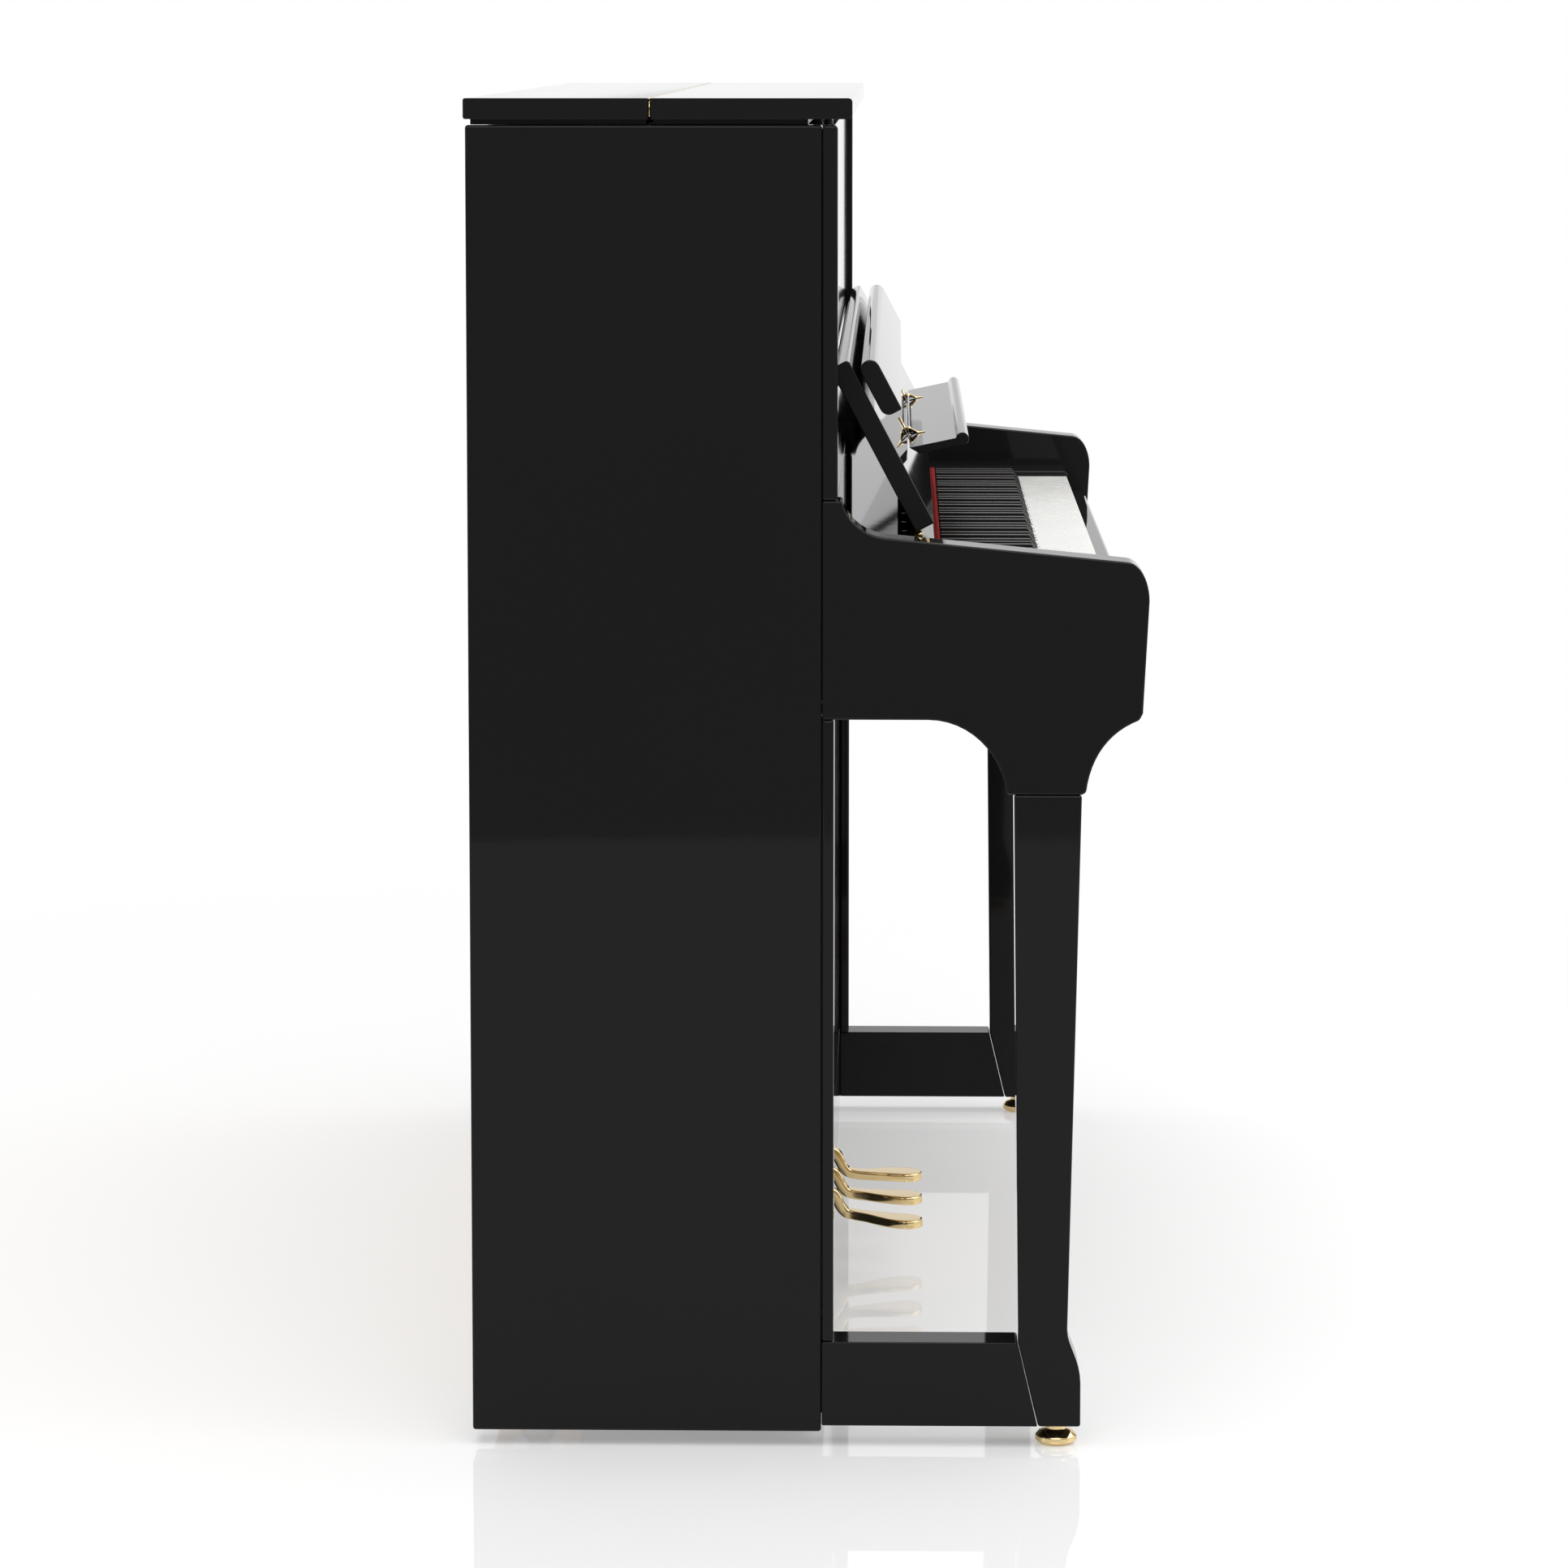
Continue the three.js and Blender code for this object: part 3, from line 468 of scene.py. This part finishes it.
def natural_outline(index, front, back, shrink=0.0):
    """A natural from above: full width at its head, and cut back beside its sharps."""
    x = KEYS[index][1]
    left, right = x - HEAD_W / 2 + shrink, x + HEAD_W / 2 - shrink
    clear = SHARP_W / 2 + BESIDE_SHARP + shrink
    tail_left = KEYS[index - 1][1] + clear if is_sharp(index - 1) else left
    tail_right = KEYS[index + 1][1] - clear if is_sharp(index + 1) else right
    head = SHARP_FRONT - BEFORE_SHARP
    points = [(left, front), (right, front), (right, head), (tail_right, head), (tail_right, back),
              (tail_left, back), (tail_left, head), (left, head)]
    return [p for i, p in enumerate(points) if p != points[i - 1]]


def add_natural(bm, index):
    """A white covering with a lip over the front plate, on a wooden stick."""
    front_plate, setback = 2 * MM, 0.3 * MM
    under = KEY_TOP - COVER_T
    prism(bm, natural_outline(index, KEY_FRONT, KEY_FRONT + COVER_L), under, KEY_TOP, 0)
    x = KEYS[index][1]
    plate_half = HEAD_W / 2 - setback
    front = KEY_FRONT + LIP
    block(bm, (x - plate_half, front, HEAD_LOW.z + MM), (x + plate_half, front + front_plate, under), 0)
    stick = natural_outline(index, front + front_plate, KEY_TAIL, setback)
    prism(bm, stick, HEAD_LOW.z, under, 1)


def add_sharp(bm, index):
    """A wooden stick under a tapered black block with a sloping front."""
    x = KEYS[index][1]
    half = SHARP_W / 2
    back = SHARP_FRONT + SHARP_L
    foot = KEY_TOP - 2 * MM
    block(bm, (x - half, SHARP_FRONT + MM, HEAD_LOW.z), (x + half, KEY_TAIL, foot), 1)
    top_half = half - 0.9 * MM
    slope, front_height = 8 * MM, 3 * MM
    crest = [(back, SHARP_TOP), (SHARP_FRONT + slope, SHARP_TOP), (SHARP_FRONT, foot + front_height)]
    rings = []
    for y, height in crest:
        share = (height - foot) / (SHARP_TOP - foot)
        top = half + (top_half - half) * share
        corners = [(x - half, y, foot), (x + half, y, foot), (x + top, y, height), (x - top, y, height)]
        rings.append([Vector(corner) for corner in corners])
    loft(bm, rings)


def key_pieces(name, body, indexes, replaced):
    """The naturals and the sharps of one body, as one piece of each."""
    for kind, cover, slot, add_key in (("naturals", WHITE, "key_white", add_natural),
                                       ("sharps", EBONY, "key_black", add_sharp)):
        chosen = [i for i in indexes if is_sharp(i) == (kind == "sharps")]
        if not chosen:
            continue
        bm = bmesh.new()
        for index in chosen:
            add_key(bm, index)
        label = name if len(indexes) == 1 else f"{kind}_{name}"
        rounded(piece(label, bm, body, [cover, STICK], [replaced]), 0.7 * MM)


def add_keys():
    names = [name for name, x in KEYS]
    first = names.index(f"C{MIDDLE_OCTAVE}")
    middle = range(first, first + 12)
    key_pieces("bass", "keys_bass", range(first), "keys_bass")
    key_pieces("treble", "keys_treble", range(first + 12, NOTE_COUNT), "keys_treble")
    for index in middle:
        body = f"key_{names[index]}"
        key_pieces(f"{names[index]}_key", body, [index], body)


def add_felt_strip():
    """Red felt behind the sharps, pinched at even steps along its length."""
    low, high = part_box("keys_bass")[0].x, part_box("keys_treble")[1].x
    behind_sharps, over_keys = 3 * MM, 6.5 * MM
    middle = Vector((0, SHARP_FRONT + SHARP_L + behind_sharps, KEY_TOP + over_keys))
    half_width, half_height = 2.6 * MM, 3.4 * MM
    roll, rings_per_roll, pinch = 7 * MM, 4, 0.25
    steps = rings_per_roll * round((high - low) / roll)
    across, up = Vector((0, 1, 0)), Vector((0, 0, 1))
    rings = []
    for i in range(steps + 1):
        swell = 1 - pinch * (i % rings_per_roll == 0)
        width, height = half_width * swell, half_height * swell
        centre = middle + Vector((low + (high - low) * i / steps, 0, 0))
        rings.append(oval(centre, across, up, width, height, count=12, power=2.6))
    bm = bmesh.new()
    loft(bm, rings)
    piece("red_felt_strip", bm, "case", [RED_FELT])


# ---- Pedals ----
# Down the lever from its tail to its tip: distance behind the tip, height over the lowest point,
# half width and half thickness, in millimetres, and how much of the fan is taken up
PEDAL_STATIONS = [
    (209, 32.5, 7.6, 6, 0), (150, 32.6, 7.8, 6.2, 0), (100, 32.8, 7.8, 6.2, 0), (92, 31.8, 7.8, 6, 0),
    (86.5, 27, 7.8, 5.4, 0), (82.5, 18.5, 7.8, 4.9, 0), (77, 12, 7.9, 4.6, 0), (68, 9.4, 8.2, 4.6, 0.03),
    (56, 8.2, 10, 4.6, 0.23), (47, 7.4, 13, 4.6, 0.5), (35, 6.6, 16.6, 4.6, 0.84), (26, 6, 18, 4.6, 0.96),
    (17, 5.5, 18.3, 4.6, 1), (9, 5.2, 16.4, 4.5, 1), (3.5, 5.1, 11.2, 4.2, 1), (0.8, 5.1, 6, 3.6, 1),
    (0, 5.1, 3.4, 3, 1),
]


def add_pedals():
    """Flat-topped plates. The outer two lie further out than their levers."""
    for side in ("left", "middle", "right"):
        low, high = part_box(f"pedal_{side}")
        lever_x = PINS[f"pedal_{side}_joint"].x
        widest = max(station[2] for station in PEDAL_STATIONS) * MM
        fan = {"left": low.x + widest - lever_x, "middle": 0, "right": high.x - widest - lever_x}[side]
        path = smooth_path(PEDAL_STATIONS, steps=5)
        rings = []
        for i, (behind, rise, half_width, half_thick, spread) in enumerate(path):
            ahead = path[min(i + 1, len(path) - 1)]
            back = path[max(i - 1, 0)]
            along = Vector((0, ahead[0] - back[0], ahead[1] - back[1])).normalized()
            up = Vector((0, along.z, -along.y))
            centre = Vector((lever_x + fan * spread, low.y + behind * MM, low.z + rise * MM))
            width, height = half_width * MM, half_thick * MM
            rings.append(oval(centre, Vector((1, 0, 0)), up, width, height, count=36, power=7))
        bm = bmesh.new()
        loft(bm, rings)
        piece(f"brass_pedal_{side}", bm, f"pedal_{side}", [BRASS], [f"pedal_{side}"])


# ---- Hinges ----
def barrel_profile(length, radius):
    """(distance along, radius) down a barrel with chamfered ends."""
    chamfer = 0.3 * MM
    return [(0, radius - chamfer), (chamfer, radius), (length - chamfer, radius), (length, radius - chamfer)]


def hinge_barrel(bm, pin, x0, x1, radius, knuckle):
    """A row of knuckles along X with a fine gap between each two."""
    count = round((x1 - x0) / knuckle)
    length = (x1 - x0) / count
    gap = 0.25 * MM
    profile = barrel_profile(length - 2 * gap, radius)
    for i in range(count):
        turned(bm, Vector((x0 + i * length + gap, pin.y, pin.z)), Vector((1, 0, 0)), profile, 12)


LEAN = math.radians(62.1)          # of the standing fallboard, up from level
BOARD_UP = Vector((0, math.cos(LEAN), math.sin(LEAN)))
BOARD_OUT = Vector((0, -math.sin(LEAN), math.cos(LEAN)))
SHELF_TILT = math.radians(12)      # of the let-down music shelf, up towards its front
SHELF_ALONG = Vector((0, -math.cos(SHELF_TILT), math.sin(SHELF_TILT)))
SHELF_ABOVE = Vector((0, math.sin(SHELF_TILT), math.cos(SHELF_TILT)))
BOARD_FACE_FROM_PIN = 15.75 * MM   # the standing board's face and foot, seen from its hinge pin
BOARD_FOOT_FROM_PIN = 4.1 * MM
LID_CLEARANCE = 4.9 * MM           # between the side panels and the front of the lid


def slanted(bm, centre, across, up, out):
    """A block square to the standing board, given by its low and high reaches from centre."""
    corners = [(up[0], out[0]), (up[1], out[0]), (up[1], out[1]), (up[0], out[1])]
    offsets = [BOARD_UP * u + BOARD_OUT * n for u, n in corners]
    loft(bm, [[centre + Vector((x, 0, 0)) + offset for offset in offsets] for x in across])


def screw_head(bm, centre, facing, radius):
    """A countersunk screw head, standing a little proud of its leaf."""
    heights, widths = (-0.2, 0.1, 0.35, 0.45), (1, 1, 0.7, 0.1)
    profile = [(height * MM, width * radius) for height, width in zip(heights, widths)]
    turned(bm, centre, facing, profile, 16)


def add_lid_hinge():
    """A fine barrel flush with the top of the lid, over leaves let in between its two parts."""
    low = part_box("lid_hinge")[0]
    pin = PINS["lid_hinge_joint"]
    inset, barrel, half_leaves, leaf_depth = 1.5 * MM, 0.7 * MM, 0.5 * MM, 3 * MM
    x0, x1 = cad_low.x + inset, cad_high.x - inset
    bm = bmesh.new()
    hinge_barrel(bm, Vector((0, pin.y, pin.z - barrel)), x0, x1, barrel, knuckle=12 * MM)
    block(bm, (x0, pin.y - half_leaves, low.z), (x1, pin.y + half_leaves, pin.z - leaf_depth))
    piece("brass_lid_hinge", bm, "case", [BRASS], ["lid_hinge"])


def add_fallboard_hinge():
    """Long knuckles, and the leaf that is screwed to the rail behind them."""
    low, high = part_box("fallboard_hinge")
    pin = PINS["fallboard_joint"]
    inset, thick, screw_from_edge = 8 * MM, 1.4 * MM, 6 * MM
    bm = bmesh.new()
    hinge_barrel(bm, pin, low.x, high.x, radius=2.4 * MM, knuckle=38 * MM)
    leaf_low = Vector((low.x + inset, pin.y, low.z))
    leaf_high = Vector((high.x - inset, high.y, low.z + thick))
    block(bm, leaf_low, leaf_high)
    screws = 16
    for i in range(screws):
        x = leaf_low.x + (i + 0.5) * (leaf_high.x - leaf_low.x) / screws
        screw = Vector((x, high.y - screw_from_edge, leaf_high.z))
        screw_head(bm, screw, Vector((0, 0, 1)), radius=3 * MM)
    piece("brass_fallboard_hinge", bm, "case", [BRASS], ["fallboard_hinge"])


def add_board_leaf():
    """The hinge's other leaf, screwed under the foot of the standing board."""
    low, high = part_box("fallboard_hinge")
    inset, thick, clear = 20 * MM, 1.2 * MM, 0.15 * MM
    behind_face = (-15.5 * MM, -1.5 * MM)
    foot = PINS["fallboard_joint"] + BOARD_OUT * BOARD_FACE_FROM_PIN + BOARD_UP * BOARD_FOOT_FROM_PIN
    bm = bmesh.new()
    slanted(bm, foot, (low.x + inset, high.x - inset), (-thick - clear, -clear), behind_face)
    piece("brass_board_leaf", bm, "fallboard", [BRASS])


def add_shelf_brackets():
    """Two brackets on the board carry the rod, and the shelf's ears turn beside their knuckles."""
    pin = PINS["music_shelf_joint"]
    low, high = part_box("shelf_hinge")
    along_x = Vector((1, 0, 0))
    plate = (-3 * MM, -1.9 * MM)       # from the board's face outwards, seen from the pin
    plate_up, web_up, screw_up = 14.5 * MM, 3 * MM, 10.5 * MM
    half_foot, half_knuckle = 5 * MM, 7 * MM
    ear, ear_gap = 4 * MM, 0.4 * MM
    rod_inset = 2 * MM
    bm, ears = bmesh.new(), bmesh.new()
    for way in (-1, 1):
        centre = Vector((way * (high.x - half_knuckle), pin.y, pin.z))
        foot = (-half_foot, half_foot)
        slanted(bm, centre, foot, (-plate_up, plate_up), plate)
        slanted(bm, centre, foot, (-web_up, web_up), (plate[0], 0))
        for up in (-screw_up, screw_up):
            screw_head(bm, centre + BOARD_UP * up + BOARD_OUT * plate[1], BOARD_OUT, radius=2.4 * MM)
        knuckle = barrel_profile(2 * half_knuckle, 2.7 * MM)
        turned(bm, centre - along_x * half_knuckle, along_x, knuckle, 20)
        near = centre.x + way * (half_knuckle + ear_gap)
        x0, x1 = sorted((near, near + way * ear))
        turned(ears, Vector((x0, pin.y, pin.z)), along_x, barrel_profile(ear, 2.5 * MM), 20)
        loft(ears, [ear_wing(Vector((x, pin.y, pin.z))) for x in (x0, x1)])
    rod = barrel_profile(high.x - low.x - 2 * rod_inset, 1.2 * MM)
    turned(bm, Vector((low.x + rod_inset, pin.y, pin.z)), along_x, rod, 16, 1)
    piece("brass_shelf_hinge", bm, "fallboard", [BRASS, STEEL], ["shelf_hinge"])
    piece("brass_shelf_ears", ears, "music_shelf", [BRASS])


def ear_wing(pin):
    """The side of an ear: a tongue that runs from the rod down onto the shelf."""
    tongue = [(0, -1.8), (8, -4.85), (14.5, -4.85), (15, -4), (9, -3.6), (2, 1.6), (0, 2)]
    return [pin + (SHELF_ALONG * along + SHELF_ABOVE * above) * MM for along, above in tongue]


def add_lid_buffers():
    """Soft buffers on the side panels and stiles, which keep the front of the lid off them."""
    low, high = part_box("side_panel_left")
    radius, from_side, clear = 3.8 * MM, 22 * MM, 0.1 * MM
    below_lid, widths = (1.4 * MM, 0.5 * MM, 0.2 * MM), (1, 0.84, 0.5)
    dome = [(LID_CLEARANCE - drop, width * radius) for drop, width in zip(below_lid, widths)]
    on_panel, on_stile = low.y + 4.2 * MM, low.y - 5 * MM
    bm = bmesh.new()
    for x in (low.x + from_side, -low.x - from_side):
        for y in (on_panel, on_stile):
            turned(bm, Vector((x, y, high.z + clear)), Vector((0, 0, 1)), [(0, radius)] + dome, 20)
    piece("lid_buffers", bm, "case", [TREAD])


def add_back_frame():
    """Posts between a bottom beam and the pin block, and a cleat at the soundboard's foot and top."""
    low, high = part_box("back_frame")
    beam_top, block_foot = low.z + 86 * MM, high.z - 113 * MM
    beam_front, post_front = low.y + 9 * MM, high.y - 60 * MM
    seam = 0.2 * MM
    bm = bmesh.new()
    block(bm, (low.x, beam_front, low.z), (high.x, high.y, beam_top))
    block(bm, (low.x, low.y, block_foot), (high.x, high.y, high.z))
    cleat_x = high.x - 61 * MM
    cleat_h, cleat_t = 16 * MM, 10 * MM
    for foot in (beam_top + seam, block_foot - cleat_h - seam):
        block(bm, (-cleat_x, beam_front, foot), (cleat_x, beam_front + cleat_t, foot + cleat_h))
    foot, head = beam_top + seam, block_foot - seam
    end_post, post, spacing = 60 * MM, 70 * MM, 330 * MM
    for x in (low.x, high.x - end_post):
        block(bm, (x, beam_front, foot), (x + end_post, high.y, head), 1)
    for x in (-spacing, 0, spacing):
        block(bm, (x - post / 2, post_front, foot), (x + post / 2, high.y, head), 1)
    frame_piece = piece("wooden_back_frame", bm, "case", [BEECH, SPRUCE], ["back_frame"])
    rounded(frame_piece, 1.5 * MM)


# ---- Stage ----
def add_floor():
    bm = bmesh.new()
    reach = 4.3
    bmesh.ops.create_circle(bm, cap_ends=True, segments=128, radius=reach)
    mesh = bpy.data.meshes.new("floor")
    bm.to_mesh(mesh)
    bm.free()
    floor = bpy.data.objects.new("floor", mesh)
    bpy.context.scene.collection.objects.link(floor)
    mesh.materials.append(floor_material(reach))


def floor_material(reach):
    """A pale glossy floor, which towards its rim turns into the plain white beyond it."""
    material = bpy.data.materials.new("floor")
    material.use_nodes = True
    tree = material.node_tree
    tree.nodes.remove(tree.nodes["Principled BSDF"])
    place = tree.nodes.new("ShaderNodeTexCoord").outputs["Object"]
    length = tree.nodes.new("ShaderNodeVectorMath")
    length.operation = "LENGTH"
    tree.links.new(place, length.inputs[0])

    def across(start, end, middle, rim):
        """From the value middle at start to the value rim at end, both as shares of the reach."""
        share = tree.nodes.new("ShaderNodeMapRange")
        share.interpolation_type = "SMOOTHSTEP"
        limits = {"From Min": start * reach, "From Max": end * reach, "To Min": middle, "To Max": rim}
        for socket, value in limits.items():
            share.inputs[socket].default_value = value
        tree.links.new(length.outputs["Value"], share.inputs["Value"])
        return share.outputs["Result"]

    def mixed(share, first, second):
        mix = tree.nodes.new("ShaderNodeMixShader")
        for socket, source in zip(mix.inputs, (share, first, second)):
            tree.links.new(source, socket)
        return mix.outputs["Shader"]

    matt = tree.nodes.new("ShaderNodeBsdfDiffuse")
    matt.inputs["Color"].default_value = (0.84, 0.84, 0.838, 1)
    gloss = tree.nodes.new("ShaderNodeBsdfGlossy")
    gloss.inputs["Roughness"].default_value = 0.03
    white = tree.nodes.new("ShaderNodeEmission")
    pale = mixed(across(0.2, 0.65, 0.4, 1), matt.outputs["BSDF"], white.outputs["Emission"])
    surface = mixed(across(0.3, 0.65, 0.22, 0), pale, gloss.outputs["BSDF"])
    tree.links.new(surface, tree.nodes["Material Output"].inputs["Surface"])
    return material


def softbox(name, centre, aim, width, height, watts):
    data = bpy.data.lights.new(name, "AREA")
    data.shape = "RECTANGLE"
    data.size, data.size_y = width, height
    data.energy = watts
    light = bpy.data.objects.new(name, data)
    light.location = centre
    light.rotation_mode = "QUATERNION"
    light.rotation_quaternion = (Vector(aim) - Vector(centre)).to_track_quat("-Z", "Y")
    light.visible_camera = False
    bpy.context.scene.collection.objects.link(light)


def add_lights():
    softbox("above", (0, -0.6, 3.6), (0, 0, 0), 6, 6, 230)
    softbox("near_end", (-4.2, 0, 4.2), (-1.6, 0, 0), 4, 3, 110)
    softbox("far_end", (4.6, 0, 1.9), (0, 0, 0.7), 7, 4, 40)
    softbox("horizon", (12, 0, 0.75), (0, 0, 0.75), 12, 1.3, 9)
    softbox("front", (0.2, -4.4, 2.4), (0, 0, 0.6), 5.2, 3, 66)
    softbox("back", (0, 4.4, 2.4), (0, 0, 0.6), 5.2, 3, 60)
    world = bpy.data.worlds.new("studio")
    world.use_nodes = True
    tree = world.node_tree
    dim = tree.nodes["Background"]
    dim.inputs["Color"].default_value = (0.36, 0.36, 0.365, 1)
    bright = tree.nodes.new("ShaderNodeBackground")
    bright.inputs["Color"].default_value = (1, 1, 1, 1)
    mix = tree.nodes.new("ShaderNodeMixShader")
    seen = tree.nodes.new("ShaderNodeLightPath").outputs["Is Camera Ray"]
    tree.links.new(seen, mix.inputs["Fac"])
    tree.links.new(dim.outputs["Background"], mix.inputs[1])
    tree.links.new(bright.outputs["Background"], mix.inputs[2])
    tree.links.new(mix.outputs["Shader"], tree.nodes["World Output"].inputs["Surface"])
    bpy.context.scene.world = world
    bpy.context.scene.view_settings.view_transform = "Standard"


add_camera()
finish_cad_nodes()
add_keys()
add_felt_strip()
add_pedals()
add_lid_hinge()
add_fallboard_hinge()
add_board_leaf()
add_shelf_brackets()
add_lid_buffers()
add_back_frame()
add_floor()
add_lights()
